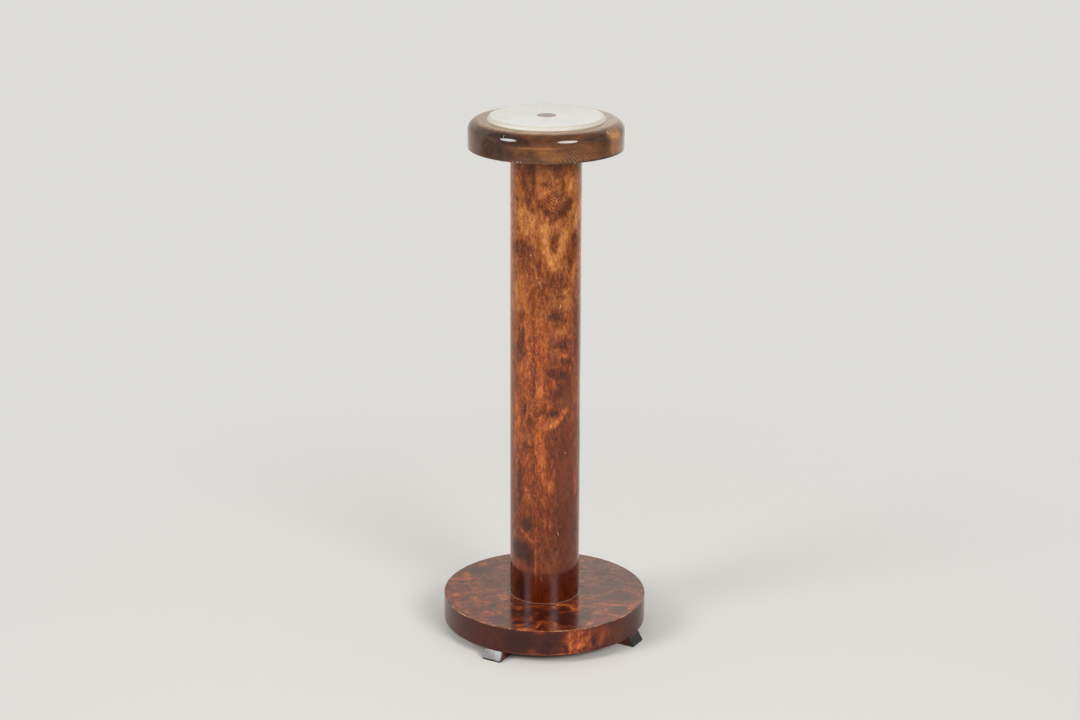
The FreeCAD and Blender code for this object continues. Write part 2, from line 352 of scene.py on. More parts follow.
column = {
    "radius": 51.3,           # mm
    "rough": 0.09,
    "figure": 0.55,           # how strong the spots below are
    "front": (52, 74),        # mm round, where the spots below give way to plain figure
    "golden": (400, 630),     # the heights between which red wood turns golden
    "speckled": (380, 560),   # between which specks set in
    "dull": (290, 150),       # and between which it darkens, going down
    "footZone": 100,          # below this height the wood is painted darker and redder, a painted shade near the base
    "footShadeTint": (0.6, 0.42, 0.38),
    "headShade": (702, 724),  # painted shade: it darkens again under the top
    "scratch": paint(236, 196, 150),
    "upperTones": [
        (0.0, paint(72, 33, 16)), (0.25, paint(108, 52, 22)), (0.5, paint(145, 81, 41)),
        (0.75, paint(178, 112, 58)), (1.0, paint(206, 144, 84)),
    ],
    "lowerTones": [
        (0.0, paint(52, 18, 5)), (0.25, paint(84, 31, 7)), (0.5, paint(116, 50, 17)),
        (0.75, paint(158, 76, 30)), (1.0, paint(198, 108, 46)),
    ],
    "archMiddle": 12, "archPitch": 5.2, "archSlope": 0.95, "archSoft": 8.0,    # the arches near the top
    "archWobble": 7,
    "archPlace": [(13, 662, 24, 23, 0, 1.0)],
    "lively": [               # where the specks are stronger
        (-14, 430, 20, 75, 0, 1.0), (-32, 632, 20, 32, 0, 0.8), (0, 345, 30, 30, 0, 0.5),
    ],
    "calm": [                 # quieter wood: across, up, half width, half height, lean, how quiet
        (34, 220, 22, 130, 0, 0.7), (34, 378, 14, 34, 0, 0.6), (-32, 150, 16, 60, 0, 0.5),
        (0, 80, 60, 40, 0, 0.6),
    ],
    "rightLeaf": [            # the leaf right of the seam, from its top down
        (-11, 695, 5, 26, 0, 0.26), (4, 676, 12, 5, 0, 0.24), (-2, 689, 9, 5, 0, -0.4),
        (16, 704, 4, 10, 0, -0.2), (16, 661, 22, 16, 0, -0.22), (35, 690, 8, 17, 0, 0.34),
        (24, 684, 4, 18, 0, -0.36), (-3, 652, 6, 18, 38, -0.5), (30, 654, 7, 22, -40, -0.5),
        (14, 645, 22, 10, 0, -0.32), (14, 672, 14, 4, 0, -0.24), (0, 624, 16, 7, 20, 0.4),
        (0, 598, 6, 24, 12, 0.42), (26, 603, 7, 28, -20, 0.5), (11, 572, 9, 12, 0, 0.42),
        (12, 606, 9, 15, 0, -0.28), (-10, 575, 4, 34, 0, -0.34), (57, 640, 9, 30, -35, 0.36),
        (44, 592, 11, 32, -14, -0.52), (47, 570, 4, 9, 0, 0.3), (16, 547, 20, 16, 0, -0.42),
        (30, 530, 6, 2.5, 0, 0.5), (15, 500, 6, 8, 0, -0.3), (44, 545, 5, 18, 0, 0.25),
        (32, 514, 12, 12, 0, 0.36), (22, 524, 8, 3, 0, -0.3), (-5, 520, 9, 24, 0, -0.2),
        (-6, 440, 11, 75, 0, 0.24), (-12, 440, 5, 3, 0, -0.4), (-14, 415, 2, 8, 0, -0.4),
        (0, 478, 3, 3, 0, -0.4), (4, 440, 2, 12, 0, -0.4), (18, 492, 18, 8, -14, -0.42),
        (24, 470, 12, 7, 10, 0.32), (25, 453, 20, 7, 8, -0.5), (27, 436, 10, 5, 0, 0.46),
        (28, 425, 14, 4, 0, -0.4), (44, 425, 6, 5, -20, 0.24), (19, 408, 20, 9, -12, -0.46),
        (16, 384, 13, 16, 0, -0.3), (30, 370, 20, 35, 0, -0.22), (13, 391, 4, 7, 10, 0.56),
        (-8, 372, 7, 20, 0, 0.36), (4, 365, 3, 13, 0, 0.26), (-7, 347, 5, 4, 0, -0.26),
        (14, 347, 11, 6, -24, -0.56), (17, 339, 7, 27, -50, 0.6), (-5, 334, 11, 13, 0, 0.2),
        (31, 352, 6, 7, 0, 0.3), (-7, 296, 9, 44, 6, 0.44), (24, 300, 17, 30, 8, -0.2),
        (36, 200, 24, 145, 0, -0.2), (53, 298, 3, 8, 0, 0.3), (53, 234, 4, 22, 0, 0.34),
        (-3, 250, 4, 15, 10, 0.3), (8, 235, 5, 12, 10, 0.4), (13, 255, 2, 8, 0, 0.2),
        (8, 178, 4, 7, 0, 0.4), (3, 160, 2.2, 18, 10, 0.34), (7, 152, 2, 18, -5, 0.2),
        (0, 132, 16, 28, 0, -0.14), (-13.5, 125, 1.8, 75, 0, 0.36), (-13, 103, 2.4, 7, 0, 0.4),
        (52, 490, 9, 70, 0, -0.24), (52, 330, 8, 60, 0, -0.08), (42, 680, 10, 30, 0, 0.1),
    ],
    "leftLeaf": [
        (-25, 692, 15, 32, 0, -0.5), (-23, 655, 6, 16, 25, -0.5), (-47, 680, 6, 20, 0, 0.12),
        (-30, 636, 20, 24, 15, 0.34), (-47, 665, 5, 4, 0, -0.4), (-38, 652, 3, 3, 0, -0.4),
        (-44, 618, 4, 3, 0, -0.35), (-38, 592, 25, 15, 0, -0.6), (-26, 570, 14, 16, 0, -0.34),
        (-38, 530, 14, 26, 0, 0.22), (-22, 520, 6, 20, 0, -0.1), (-41, 490, 7, 10, 0, -0.34),
        (-26, 440, 8, 60, 0, 0.18), (-39, 442, 11, 19, 8, -0.46), (-43, 467, 3, 14, 5, -0.4),
        (-35, 466, 2.5, 12, -5, -0.4), (-50, 400, 14, 60, 0, 0.1), (-17, 395, 2, 14, 0, -0.3),
        (-32, 350, 3, 12, 0, -0.55), (-25, 343, 3, 7, 0, -0.3), (-28, 352, 1.6, 8, 0, 0.3),
        (-21, 335, 8, 6, 20, -0.3), (-18, 340, 3, 16, 27, 0.3), (-28, 298, 12, 3, 0, -0.5),
        (-34, 290, 7, 2, 0, -0.3), (-50, 320, 12, 40, 0, 0.1), (-42, 240, 5, 42, 0, -0.45),
        (-25, 262, 7, 28, 0, 0.24), (-28, 226, 5, 10, 0, 0.4), (-18, 211, 2.5, 10, 0, 0.4),
        (-27, 175, 12, 12, 0, -0.5), (-30, 158, 2.6, 20, 54, 0.5), (-36, 132, 26, 17, -8, -0.62),
        (-24, 118, 12, 12, 0, -0.3), (-38, 107, 12, 9, 0, 0.12), (-38, 74, 14, 22, 0, -0.5),
        (-55, 180, 10, 40, 0, 0.1), (-34, 368, 18, 70, 0, 0.12), (-34, 480, 18, 90, 0, 0.1),
        (-50, 500, 9, 60, 0, 0.14), (-46, 310, 9, 70, 0, 0.22),
    ],
    "marks": [                # pale scratches and nicks in the polish
        (-13, 553, 0.55, 5, 25, 1), (-9, 545, 0.5, 4, 28, 1), (-17, 567, 0.8, 4, 20, 1),
        (-22, 585, 1.2, 2, 0, 1), (22, 510, 0.8, 3, 0, 1), (20, 162, 0.7, 4, 12, 1),
        (-41, 641, 0.6, 2, 0, 1), (9, 331, 0.5, 6, -20, 0.7), (31, 287, 0.5, 3, 35, 0.8),
        (-5, 92, 0.4, 5, 8, 0.6),
    ],
}


def columnDetail(own, face, z, figure, fine):          # fibres, flecks, glints and specks, about zero
    fibre = own.stretched(1.0, 1.0, 0.35).noise(0.42, 3, 0.65)
    fleckPlace = own.stretched(1.0, 1.0, 0.45)
    flecks = fleckPlace.noise(0.42, 3, 0.6, 0.4).smooth(0.58, 0.7) * own.noise(0.05, 2).smooth(0.42, 0.6)
    glints = fleckPlace.moved((90.0, 0.0, 0.0)).noise(0.36, 3, 0.6, 0.4).smooth(0.6, 0.74)
    patches = own.stretched(1.0, 1.0, 0.4).noise(0.13, 5, 0.66, 0.9).smooth(0.46, 0.54) - 0.5
    specks = own.stretched(1.0, 1.0, 0.6).noise(0.75, 3, 0.6) - 0.5
    speckled = clouds(face, column["lively"]) * 0.9 + z.smooth(*column["speckled"]) * 0.5 + 0.2
    detail = (figure - 0.5) * 0.75 + (fibre - 0.5) * 0.65 + (fine - 0.5) * 0.3 + patches * 0.15
    return detail - flecks * 0.3 + glints * 0.22 + specks * speckled


def archRipples(across, z, face, figure):
    bend = (across - column["archMiddle"]).maths("POWER", 2).maths("ADD", column["archSoft"]).maths("SQRT")
    arch = z - bend * column["archSlope"] + (figure - 0.5) * column["archWobble"]
    return arch.wave(column["archPitch"]) * clouds(face, column["archPlace"]) * 0.1


def columnColour(level, z, own):
    drift = own.stretched(1.0, 1.0, 0.5).noise(0.03, 3, 0.6) - 0.5
    golden = (z.smooth(*column["golden"]) + drift * 1.6).clipped()
    colour = golden.between(level.ramp(column["lowerTones"]), level.ramp(column["upperTones"]))
    # painted shade near the base: darker and redder below the foot zone
    colour = colour.tinted(column["footShadeTint"], z.smooth(column["footZone"] + 4, column["footZone"] - 3))
    return varied(colour, own.stretched(1.0, 1.0, 0.5), 0.16)


def makeColumnVeneer(name, spots, seed, hasArch=False):
    material, wire = newMaterial(name)
    place = standPlace(wire)
    across, z = unrolled(place, column["radius"])
    face = across.joined(z)
    own = place.moved((0.0, 0.0, seed))
    warped = face.moved(own.push(0.06, (7.0, 12.0, 0.0), 3))
    warped = warped.moved(own.stretched(1.0, 1.0, 0.25).push(0.55, (4.0, 17.0, 0.0), 3))
    figure = own.stretched(1.0, 1.0, 0.55).noise(0.19, 4, 0.68, 0.5)
    fine = own.stretched(1.0, 1.0, 0.1).noise(1.5, 2, 0.6)
    wide = own.stretched(1.0, 1.0, 0.42).noise(0.042, 3, 0.55, 0.6)
    sides = abs(across).smooth(*column["front"]) if spots else 1.0
    busy = 1 - clouds(face, column["calm"]).clipped()
    level = 0.5 + (wide - 0.5) * (sides * 1.1 + 0.2)
    level = level + columnDetail(own, face, z, figure, fine) * (busy * 0.75 + 0.25)
    # painted shade near the base, a little darker
    level = level + z.smooth(column["footZone"] + 10, column["footZone"] - 4, 0.0, -0.04)
    # the second term is painted shade under the top
    level = level + z.smooth(*column["dull"], 0.0, -0.09) + z.smooth(*column["headShade"], 0.0, -0.2)
    if hasArch:
        level = level + archRipples(across, z, face, figure)
    if spots:
        level = level + clouds(warped, spots) * column["figure"]
    marks = clouds(face, column["marks"]).clipped() * place.noise(0.9, 2).smooth(0.42, 0.55)
    colour = (marks * 0.75).between(columnColour(level, z, own), column["scratch"])
    worn = (place.noise(0.05, 2) + place.noise(0.6, 2) * 0.4).smooth(0.6, 0.95)
    waves = place.noise(0.03, 2) * 1.2 + place.noise(0.25, 2) * 0.14 + fine * 0.05 - marks * 0.6
    rough = worn * 0.06 + z.smooth(column["footZone"], column["footZone"] - 12) * 0.1 + column["rough"]
    finishSurface(wire, bump=waves, bumpStrength=0.35, Base_Color=colour, Roughness=rough, IOR=1.42)
    return material


dress(makeColumnVeneer("flameVeneerRight", column["rightLeaf"], 0.0, hasArch=True), "column_veneer_1")
dress(makeColumnVeneer("flameVeneerBack", [], 410.0), "column_veneer_2")
dress(makeColumnVeneer("flameVeneerLeft", column["leftLeaf"], 870.0), "column_veneer_3")
print("column veneered")

base = {
    "radius": 150, "high": stack["foot"] + stack["base"],
    "rough": 0.14,
    "tones": [
        (0.0, paint(44, 18, 16)), (0.3, paint(62, 25, 18)), (0.46, paint(86, 36, 21)),
        (0.6, paint(117, 52, 26)), (0.78, paint(162, 82, 38)), (1.0, paint(198, 114, 58)),
    ],
    "glue": paint(196, 170, 150),                      # the pale line where the column stands
    "rim": paint(214, 160, 120),
    "arris": paint(220, 172, 132),
    "edgeTint": (1.04, 0.91, 0.92),
    "topTone": 0.44, "topFigure": 0.42, "edgeTone": 0.35, "edgeFigure": 0.5,
    "paintedShadePlace": 95, "paintedShadeReach": (30, 75),            # painted shade: the top is painted darkest in front of the column
    "busyMiddle": 50, "busyReach": (62, 20),           # mm round, where the edge's burl is lively
    "backReach": (200, 260), "shadedLeft": (0, 40),      # where it is again, and where it is painted darker, a painted shade on the left
    "topSpots": [             # right, away, half width, half depth, lean, strength
        (-118, 50, 8, 14, 0, 0.4), (-95, 98, 8, 8, 0, 0.34), (-100, 75, 18, 12, 0, -0.34),
        (-130, -20, 6, 16, 30, 0.24), (-120, 2, 14, 10, 0, -0.2), (-82, -8, 24, 7, 10, 0.16),
        (-68, 12, 5, 6, 0, -0.26), (-105, -35, 10, 12, 0, 0.34), (-62, -25, 8, 18, 0, 0.42),
        (-85, -45, 6, 10, 0, 0.26), (-78, -60, 8, 8, 0, -0.4), (-115, -80, 6, 8, 0, 0.36),
        (-96, -86, 4, 12, -20, -0.26), (-84, -78, 4, 14, 0, 0.26), (-70, -108, 18, 16, 0, -0.4),
        (-130, -50, 4, 12, 30, 0.34), (-38, -68, 6, 10, -30, 0.5), (-22, -62, 8, 5, 20, 0.3),
        (-47, -85, 7, 18, 0, -0.44), (-28, -86, 8, 15, 0, -0.44), (-35, -128, 10, 5, 20, 0.56),
        (-40, -118, 5, 5, 0, -0.4), (-18, -105, 4, 11, 0, 0.56), (-8, -126, 4, 16, -20, 0.5),
        (5, -118, 10, 4, 0, 0.5), (0, -92, 11, 15, 0, -0.5), (15, -80, 6, 13, 0, -0.4),
        (-8, -62, 12, 6, 0, 0.34), (14, -62, 6, 4, 0, 0.34), (28, -56, 15, 4, -15, 0.6),
        (42, -68, 4, 12, 15, 0.6), (30, -82, 12, 3.5, 20, 0.5), (28, -69, 9, 7, 0, -0.4),
        (32, -106, 20, 24, 0, -0.56), (16, -126, 3, 14, 0, 0.5), (-4, -139, 9, 8, 0, -0.5),
        (-31, -144, 12, 5, 0, 0.56), (85, 100, 14, 16, 0, -0.24), (110, 30, 6, 5, 0, -0.3),
        (74, -26, 18, 3, 24, 0.4), (100, -6, 16, 4, 42, 0.36), (120, -22, 26, 14, 0, -0.3),
        (110, -70, 14, 12, 0, -0.44), (129, -62, 4, 12, -20, 0.4), (108, -53, 12, 3.5, 0, 0.4),
        (100, -92, 10, 4, -20, 0.36), (91, -75, 4, 10, 0, 0.34), (62, -90, 10, 28, 0, -0.36),
        (68, -119, 4, 9, -30, 0.4), (90, 45, 30, 12, 10, 0.1), (98, 5, 50, 70, 0, -0.08),
        (104, 50, 12, 9, 15, 0.2), (86, 62, 8, 6, 0, -0.2), (92, 22, 8, 5, 0, -0.2),
    ],
    "edgeSpots": [            # round from the camera's side, up, half width, half height, lean, strength
        (44, 36, 20, 22, 12, 0.48), (78, 36, 24, 18, 0, 0.36), (75, 26, 4, 7, 0, -0.5),
        (31, 22, 6, 6, 0, -0.3), (36, 34, 2, 16, 20, 0.2), (62, 40, 8, 4, 0, -0.16),
        (96, 38, 22, 12, -20, 0.14), (-6, 50, 8, 4, 0, 0.44), (-18, 22, 6, 6, 0, 0.44),
        (-38, 33, 26, 20, 0, -0.44), (2, 28, 12, 10, 0, -0.36), (12, 45, 6, 5, 0, -0.2),
        (52, 26, 10, 4, 0, 0.3), (88, 28, 5, 14, -30, 0.16), (-96, 33, 30, 20, 0, 0.06),
        (122, 33, 14, 18, 0, 0.1), (10, 15.4, 55, 1.6, 0, 0.5), (170, 33, 40, 20, 0, -0.1),
    ],
    "wear": [                 # where the upper arris has lost its colour
        (-62, 52.5, 12, 1.3, 0, 0.9), (-84, 52.5, 5, 1.0, 0, 0.6), (62, 52.5, 24, 1.5, 0, 1),
        (30, 52.5, 8, 1.1, 0, 0.7), (100, 52.5, 8, 1, 0, 0.6), (-150, 52.5, 10, 1, 0, 0.6),
        (190, 52.5, 14, 1.1, 0, 0.7),
    ],
}


def burlLevel(place):         # dark and light burl, about zero
    curls = place.noise(0.021, 3, 0.6, 1.6)
    veins = abs(place.moved(place.push(0.06, (16.0, 16.0, 16.0), 4)).noise(0.045, 3, 0.6, 0.8) - 0.5)
    eyes = place.noise(0.07, 4, 0.62, 1.3)
    grit = place.noise(0.4, 3, 0.6)
    bright = (curls - 0.5) * 0.45 + veins.smooth(0.05, 0.0) * 0.17
    return bright + (eyes - 0.5) * 0.6 + (grit - 0.5) * 0.32 - 0.01


def makeBaseTopVeneer():
    material, wire = newMaterial("burlVeneerTop")
    place = standPlace(wire)
    x, y = place.split()[:2]
    reach = fromAxis(place)
    warped = x.joined(y).moved(place.push(0.06, (13.0, 11.0, 0.0), 3))
    warped = warped.moved(place.push(0.3, (5.0, 5.0, 0.0), 2))
    level = burlLevel(place.stretched(0.6, 1.0, 1.0)) * 0.9
    level = level + clouds(warped, base["topSpots"]) * base["topFigure"] + base["topTone"]
    # painted shade in front of the column
    level = level + x.joined(y + base["paintedShadePlace"]).length().smooth(*base["paintedShadeReach"], 0.0, 0.1)
    colour = varied(level.ramp(base["tones"]), place, 0.1)
    glueLine = reach.smooth(column["radius"] + 1.5, column["radius"] + 0.7)
    glueLine = glueLine * place.noise(0.12, 2).smooth(0.3, 0.5)
    colour = (glueLine * 0.6).between(colour, base["glue"])
    rimWear = reach.smooth(base["radius"] - 1.4, base["radius"] - 0.5)
    rimWear = rimWear * place.noise(0.05, 3).smooth(0.5, 0.62)
    colour = (rimWear * 0.7).between(colour, base["rim"])
    rubbed = (place.noise(0.03, 2) + place.noise(0.5, 2) * 0.3).smooth(0.55, 0.9)
    scratches = place.stretched(1.0, 0.06, 1.0).noise(0.9, 2).smooth(0.66, 0.74)
    waves = place.noise(0.028, 2) * 1.4 + place.noise(0.3, 2) * 0.1 - scratches * 0.05
    finishSurface(wire, bump=waves, Base_Color=colour, Roughness=rubbed * 0.08 + base["rough"], IOR=1.47)
    return material


def makeBaseEdgeVeneer():
    material, wire = newMaterial("burlVeneerEdge")
    place = standPlace(wire)
    across, z = unrolled(place, base["radius"])
    face = across.joined(z)
    warped = face.moved(place.push(0.06, (10.0, 6.0, 0.0), 3)).moved(place.push(0.3, (5.0, 5.0, 0.0)))
    busy = abs(across - base["busyMiddle"]).smooth(*base["busyReach"])
    busy = busy + abs(across).smooth(*base["backReach"]) * place.noise(0.01, 1)
    level = burlLevel(place.stretched(1.0, 1.0, 0.6)) * (busy * 0.7 + 0.3)
    # painted shade: the edge is darker on the left
    level = level + base["edgeTone"] + across.smooth(*base["shadedLeft"], -0.06, 0.0)
    level = level + clouds(warped, base["edgeSpots"]) * base["edgeFigure"]
    colour = varied(level.ramp(base["tones"]), place, 0.1).tinted(base["edgeTint"])
    wear = clouds(face, base["wear"]).clipped() * place.noise(0.35, 3).smooth(0.35, 0.55)
    wear = wear + z.smooth(base["high"] - 0.9, base["high"] - 0.2) * place.noise(0.06, 3).smooth(0.46, 0.6)
    colour = (wear.clipped() * 0.8).between(colour, base["arris"])
    scuffs = place.stretched(1.0, 1.0, 0.1).noise(0.25, 3).smooth(0.6, 0.75)
    waves = place.noise(0.028, 2) * 1.2 + place.noise(0.35, 2) * 0.1
    finishSurface(wire, bump=waves, Base_Color=colour, Roughness=scuffs * 0.08 + base["rough"], IOR=1.37)
    return material


dress(makeBaseTopVeneer(), "base_top_veneer")
dress(makeBaseEdgeVeneer(), "base_edge_veneer")
print("base veneered")

top = {
    "radius": 111.3, "round": 14.5, "arris": 0.8,      # mm
    "low": base["high"] + stack["column"],
    "recess": 84.25,          # the radius of the marble's recess
    "pocket": 13.6, "pocketDeep": 12,
    "grain": 36.8,            # degrees, as the photograph sees it
    "joint": 37.1,            # mm from the axis to each glue joint
    "gap": 0.04,              # mm from a glue joint to each board
    "sides": 192, "roundSegments": 14, "arrisSegments": 3, "smoothAngle": 28,
    "rough": 0.06, "tone": 0.44,
    "growthPitch": 3.3,       # mm, the fine growth rings on the front of the band
    "growthStart": (10, 24), "growthEnd": (78, 52), "growthHigh": (30, 22),
    "tones": [
        (0.0, paint(40, 25, 18)), (0.25, paint(66, 41, 28)), (0.45, paint(104, 63, 37)),
        (0.65, paint(134, 84, 47)), (0.85, paint(164, 106, 58)), (1.0, paint(190, 132, 78)),
    ],
    "shoulder": paint(34, 22, 16), "shadedShoulderReach": (101, 106),        # painted shade, darker on the rounding
    "flatReach": (104, 98), "flatFade": (45, 100),                     # the flat ring round the marble
    "flatDark": paint(152, 108, 70), "flatLight": paint(198, 154, 108),
    # lowArrisShadow: a painted shadow along the lower arris, to the right of the front
    "lowArrisShadow": paint(48, 28, 20), "lowMiddle": 90, "lowReach": (90, 60), "lowHigh": (3.5, 0.8),
    "bare": paint(206, 178, 150),
    "spots": [                # round from the camera's side, up, half width, half height, lean, strength
        (-84, 742, 20, 30, 0, -0.14), (-62, 744, 14, 24, 0, -0.14), (-12, 752.5, 36, 2.2, 0, 0.22),
        (-30, 740, 30, 9, 0, -0.12), (0, 742, 30, 8, 0, 0.1), (110, 750, 8, 22, 0, 0.22),
        (114, 764, 18, 9, 0, 0.3), (126, 752, 10, 26, 0, 0.24), (-70, 766, 36, 5, 0, -0.2),
        (-116, 745, 18, 30, 0, -0.12), (78, 762, 26, 7, 0, -0.16), (-48, 760, 26, 7, 0, -0.2),
        (20, 763, 60, 5, 0, -0.06), (50, 745, 22, 12, 0, 0.06), (88, 748, 10, 20, 0, -0.1),
        (140, 748, 16, 22, 0, -0.06),
    ],
    "nicks": [
        (-41, 732.2, 1.4, 0.9, 0, 1), (-36, 732.2, 1.2, 0.9, 0, 1), (-47, 731.8, 1, 0.7, 0, 0.8),
        (-64, 765.5, 0.6, 2.2, 12, 1), (101, 766, 1.3, 2.6, -20, 1), (40, 731.8, 2, 0.7, 0, 0.6),
        (150, 732.4, 3, 1.2, 0, 0.9), (-150, 732.4, 4, 1.2, 0, 0.9),
    ],
}
top["high"] = top["low"] + stack["top"]
top["recessFloor"] = top["high"] + stack["marbleProud"] - stack["marble"]


def growthRings(place, turned, around, height, seed):
    push = place.moved((seed, seed, 0.0)).push(0.02, (10.0, 10.0, 10.0), 2).split()
    slant = height * 0.5 + height * height * 0.012 + push[1] * 0.72
    slant = slant + (turned.split()[0] + push[2]) * 0.56 + push[0] * 0.5
    slant = slant + (place.noise(0.14, 3, 0.6) - 0.5) * 3.4
    rings = slant.wave(top["growthPitch"]) * place.noise(0.07, 2).smooth(0.3, 0.6, 0.4, 1.5)
    shown = around.smooth(*top["growthStart"]) * around.smooth(*top["growthEnd"]) + 0.16
    return rings * (shown * height.smooth(*top["growthHigh"]))


def makeTopWood(name, seed, tone):
    material, wire = newMaterial(name)
    place = standPlace(wire)
    x = place.split()[0]
    around, z = unrolled(place, top["radius"])
    height = z - top["low"]
    reach = fromAxis(place)
    turned = wire.node("ShaderNodeMapping", {},
                       {"Vector": place, "Rotation": (0, 0, -math.radians(top["grain"]))})
    fibrePlace = turned.stretched(0.06, 1.0, 1.0)
    fibre = fibrePlace.noise(0.7, 3, 0.6)
    broad = fibrePlace.noise(0.09, 3, 0.55)
    grit = turned.stretched(0.4, 1.0, 1.0).noise(1.1, 2, 0.6)
    pores = turned.stretched(0.1, 1.0, 1.0).noise(1.6, 2, 0.5).smooth(0.6, 0.7)
    face = around.joined(z)
    warped = face.moved(place.push(0.09, (5.0, 3.0, 0.0), 2)).moved(fibrePlace.push(0.5, (3.0, 2.0, 0.0)))
    level = top["tone"] + tone + growthRings(place, turned, around, height, seed) * 0.085
    level = level + (fibre - 0.5) * 0.5 + (broad - 0.5) * 0.5 - pores * 0.12 + (grit - 0.5) * 0.22
    level = level + clouds(warped, top["spots"]) * z.smooth(top["high"] - 0.1, top["high"] - 3)
    colour = varied(level.ramp(top["tones"]), turned.stretched(0.3, 1.0, 1.0), 0.2)
    # painted shade on the upper rounding
    shoulder = z.smooth(top["high"] - top["round"] - 1, top["high"] - 6)
    shoulder = shoulder * reach.smooth(*top["shadedShoulderReach"])
    colour = (shoulder * 0.25).between(colour, top["shoulder"])
    flatRing = reach.smooth(*top["flatReach"]) * abs(x).smooth(*top["flatFade"], 0.62, 0.3)
    flatColour = (fibre * 0.6 + broad * 0.4).smooth(0.38, 0.62).between(top["flatDark"], top["flatLight"])
    colour = flatRing.between(colour, flatColour)
    # painted shadow along the lower arris
    lowArrisShadow = height.smooth(*top["lowHigh"]) * abs(around - top["lowMiddle"]).smooth(*top["lowReach"])
    colour = (lowArrisShadow * 0.7).between(colour, top["lowArrisShadow"])
    nicks = clouds(face, top["nicks"]).clipped() * place.noise(0.5, 2).smooth(0.4, 0.5)
    arrisWear = height.smooth(0.9, 0.1) * place.noise(0.12, 3).smooth(0.58, 0.66)
    colour = (nicks + arrisWear * 0.7).clipped().between(colour, top["bare"])
    waves = place.noise(0.03, 2) * 1.2 + fibre * 0.03 - pores * 0.05 - nicks * 0.8
    rough = place.noise(0.04, 2).smooth(0.4, 0.8) * 0.03 + top["rough"]
    finishSurface(wire, bump=waves, bumpStrength=0.16, Base_Color=colour, Roughness=rough, IOR=1.5)
    return material


near = {"level": 0.999, "axis": 0.01, "height": 0.000001}            # what counts as level, or as there, in m


def clearSelection():
    if bpy.context.object and bpy.context.object.mode != "OBJECT":
        bpy.ops.object.mode_set(mode="OBJECT")
    bpy.ops.object.select_all(action="DESELECT")


def pick(piece, kind, test):  # in edit mode: selects the faces or edges that pass a test on their place
    bpy.ops.mesh.select_all(action="DESELECT")
    bpy.ops.object.mode_set(mode="OBJECT")
    mesh = piece.data
    if kind == "FACE":
        for face in mesh.polygons:
            face.select = test(face.center, face.normal)
    else:
        for edge in mesh.edges:
            first, second = (mesh.vertices[end].co for end in edge.vertices)
            edge.select = test(first, second)
    bpy.ops.object.mode_set(mode="EDIT")
    bpy.ops.mesh.select_mode(type=kind)


def startTurned(name, radius, low, high, sides):      # a disc in mm, left in edit mode
    clearSelection()
    bpy.ops.mesh.primitive_cylinder_add(vertices=sides, radius=radius / 1000, depth=(high - low) / 1000,
                                        location=(0, 0, (high + low) / 2000))
    piece = bpy.context.object
    piece.name = name
    bpy.ops.object.transform_apply(location=True, rotation=True, scale=True)
    bpy.ops.object.mode_set(mode="EDIT")
    return piece


def atRim(height):            # a test for the edges of a rim at this height, in mm
    return lambda *ends: all(abs(end.z - height / 1000) < near["height"] for end in ends)


def isLevel(centre, normal):
    return normal.z > near["level"]


def isMiddle(centre, normal):
    return isLevel(centre, normal) and centre.to_2d().length < near["axis"]


def extrudeUp(height):        # the selected face, in mm
    bpy.ops.mesh.extrude_region_move(TRANSFORM_OT_translate={"value": (0, 0, height / 1000)})


def makeTopBlank():
    blank = startTurned("topBlank", top["radius"], top["low"], top["high"], top["sides"])
    pick(blank, "EDGE", atRim(top["high"]))
    bpy.ops.mesh.bevel(offset=top["round"] / 1000, segments=top["roundSegments"], profile=0.5)
    pick(blank, "EDGE", atRim(top["low"]))
    bpy.ops.mesh.bevel(offset=top["arris"] / 1000, segments=top["arrisSegments"], profile=0.5)
    flatReach = top["radius"] - top["round"]
    pick(blank, "FACE", isMiddle)
    bpy.ops.mesh.inset(thickness=(flatReach - top["recess"]) / 1000)
    extrudeUp(top["recessFloor"] - top["high"])
    bpy.ops.mesh.inset(thickness=(top["recess"] - top["pocket"]) / 1000)
    extrudeUp(-top["pocketDeep"])
    bpy.ops.object.mode_set(mode="OBJECT")
    return blank


def cutBoard(start, end, side):                        # leaves the part between two planes, given in mm
    bpy.ops.object.mode_set(mode="EDIT")
    for offset, isStart in ((start, True), (end, False)):
        if offset is None:
            continue
        bpy.ops.mesh.select_all(action="SELECT")
        where = side * ((offset + (top["gap"] if isStart else -top["gap"])) / 1000)
        bpy.ops.mesh.bisect(plane_co=where, plane_no=side, use_fill=True,
                            clear_inner=isStart, clear_outer=not isStart)
    bpy.ops.mesh.select_all(action="SELECT")
    bpy.ops.mesh.normals_make_consistent(inside=False)
    bpy.ops.object.mode_set(mode="OBJECT")
    bpy.ops.object.shade_smooth_by_angle(angle=math.radians(top["smoothAngle"]))


def makeTopBoards():
    blank = makeTopBlank()
    turn = math.radians(view["turn"] + top["grain"])
    side = Vector((-math.sin(turn), math.cos(turn), 0))
    cuts = {                  # the planes that each board lies between, the node it stands for, its tone
        "topBoardFront": (None, -top["joint"], "top_board_1", 0.0),
        "topBoardMiddle": (-top["joint"], top["joint"], "top_board_2", -0.05),
        "topBoardBack": (top["joint"], None, "top_board_3", -0.03),
    }
    for number, (name, (start, end, node, tone)) in enumerate(cuts.items()):
        clearSelection()
        board = blank.copy()
        board.data = blank.data.copy()
        board.name = board.data.name = name
        scene.collection.objects.link(board)
        board.select_set(True)
        bpy.context.view_layer.objects.active = board
        cutBoard(start, end, side)
        woodName = name.replace("topBoard", "topWood")
        board.data.materials.append(makeTopWood(woodName, number * 260.0, tone))
        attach(board, "root")
        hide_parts(node)
    bpy.data.objects.remove(blank)


makeTopBoards()
print("top made")

